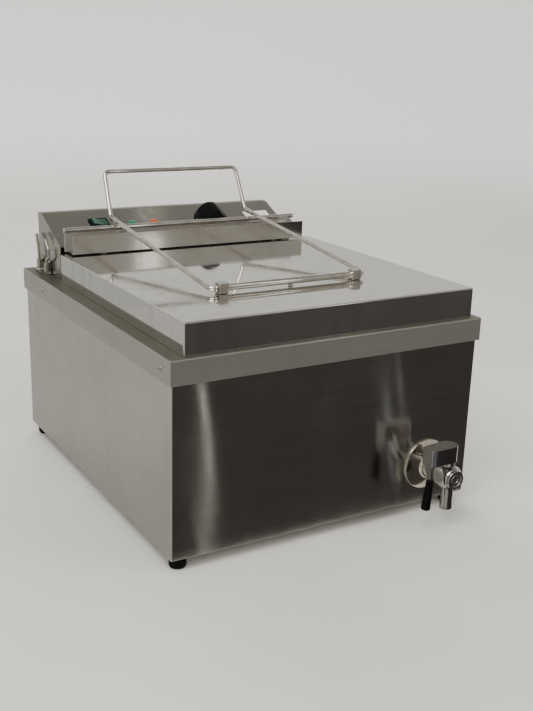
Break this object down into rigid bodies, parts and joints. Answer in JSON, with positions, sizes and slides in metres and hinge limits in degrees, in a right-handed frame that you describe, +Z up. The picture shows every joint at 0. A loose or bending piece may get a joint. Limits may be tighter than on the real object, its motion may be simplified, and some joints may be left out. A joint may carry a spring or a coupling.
{
  "type": "deep fryer",
  "caption": "Countertop electric deep fryer: box cabinet with oil tank, lift-off lid with hinged wire bail, sloping control console and front drain tap.",
  "frame": {"origin": "middle of the object's footprint, tap and cable gland included, at the level the feet stand on", "axes": "+Z up, +Y towards the rear, +X to the right as seen from the front"},
  "size_m": [0.4616, 0.6036, 0.4202],
  "materials": {
    "brushed_steel": "brushed, lightly smudged",
    "polished_chrome": "polished",
    "polished_wire": "polished wire",
    "black_plastic": "satin",
    "black_rubber": "matt",
    "green_lens": "translucent green",
    "orange_lens": "translucent orange",
    "white_label": "plain, unprinted",
    "heating_tube": "dark, heat tinted",
    "brass": "plain turned",
    "ceramic": "unglazed cream ceramic"
  },
  "bodies": {
    "cabinet": {"back_panel": "brushed_steel", "base_plate": "brushed_steel", "cabinet_wrap": "brushed_steel", "cable_gland": "black_plastic", "console_housing": "brushed_steel", "contactor": "black_plastic", "deck_screw_left_front": "polished_chrome", "deck_screw_left_rear": "polished_chrome", "deck_screw_right_front": "polished_chrome", "deck_screw_right_rear": "polished_chrome", "drain_grid": "brushed_steel", "drain_nut": "brass", "drain_pipe": "polished_chrome", "foot_front_left": "black_rubber", "foot_front_right": "black_rubber", "foot_rear_left": "black_rubber", "foot_rear_right": "black_rubber", "heater_flange_left": "brass", "heater_flange_right": "brass", "heating_tube_left": "heating_tube", "heating_tube_right": "heating_tube", "hook_bracket": "brushed_steel", "hook_ferrule_front": "polished_chrome", "hook_ferrule_rear": "polished_chrome", "hook_wire_front": "polished_wire", "hook_wire_rear": "polished_wire", "lamp_green": "green_lens", "lamp_orange": "orange_lens", "rating_label": "white_label", "safety_cutout": "black_plastic", "switch_bezel": "black_plastic", "tank": "brushed_steel", "tap_body": "polished_chrome", "tap_cap": "polished_chrome", "tap_rosette": "polished_chrome", "tap_spout": "polished_chrome", "terminal_block": "ceramic", "thermostat_body": "ceramic", "thermostat_bulb": "polished_chrome", "thermostat_capillary": "brass", "top_deck": "brushed_steel"},
    "lid": {"lid_shell": "brushed_steel", "splash_guard": "brushed_steel", "rail_plate": "brushed_steel", "rear_rail": "polished_wire", "guard_spacer_left": "brushed_steel", "guard_spacer_right": "brushed_steel", "hinge_block_left": "brushed_steel", "hinge_block_right": "brushed_steel", "hinge_tube": "polished_wire", "hinge_tube_lug": "brushed_steel"},
    "bail": {"bail": "polished_wire"},
    "knob": {"thermostat_knob": "black_plastic", "thermostat_shaft": "brass"},
    "rocker": {"switch_rocker": "green_lens"},
    "tap_lever": {"tap_lever": "polished_chrome", "tap_grip": "black_plastic", "tap_stem": "brass", "tap_ball": "polished_chrome"}
  },
  "joints": [
    {"name": "lid_lift", "type": "slide", "parent": "cabinet", "child": "lid", "axis": [0, 0, 1], "range_m": [0, 0.16]},
    {"name": "bail_hinge", "type": "hinge", "parent": "lid", "child": "bail", "pos_m": [-0.0027, -0.12775, 0.3151], "axis": [1, 0, 0], "range_deg": [0, 165]},
    {"name": "knob_turn", "type": "hinge", "parent": "cabinet", "child": "knob", "pos_m": [0.06319, 0.22105, 0.34557], "axis": [0, -0.4178, 0.9085], "range_deg": [-270, 0]},
    {"name": "rocker_tilt", "type": "hinge", "parent": "cabinet", "child": "rocker", "pos_m": [-0.125, 0.23249, 0.33983], "axis": [0, 0.9085, 0.4178], "range_deg": [-18, 0]},
    {"name": "tap_lever_turn", "type": "hinge", "parent": "cabinet", "child": "tap_lever", "pos_m": [0.1537, -0.28575, 0.0707], "axis": [0, 0, 1], "range_deg": [0, 90]}
  ]
}
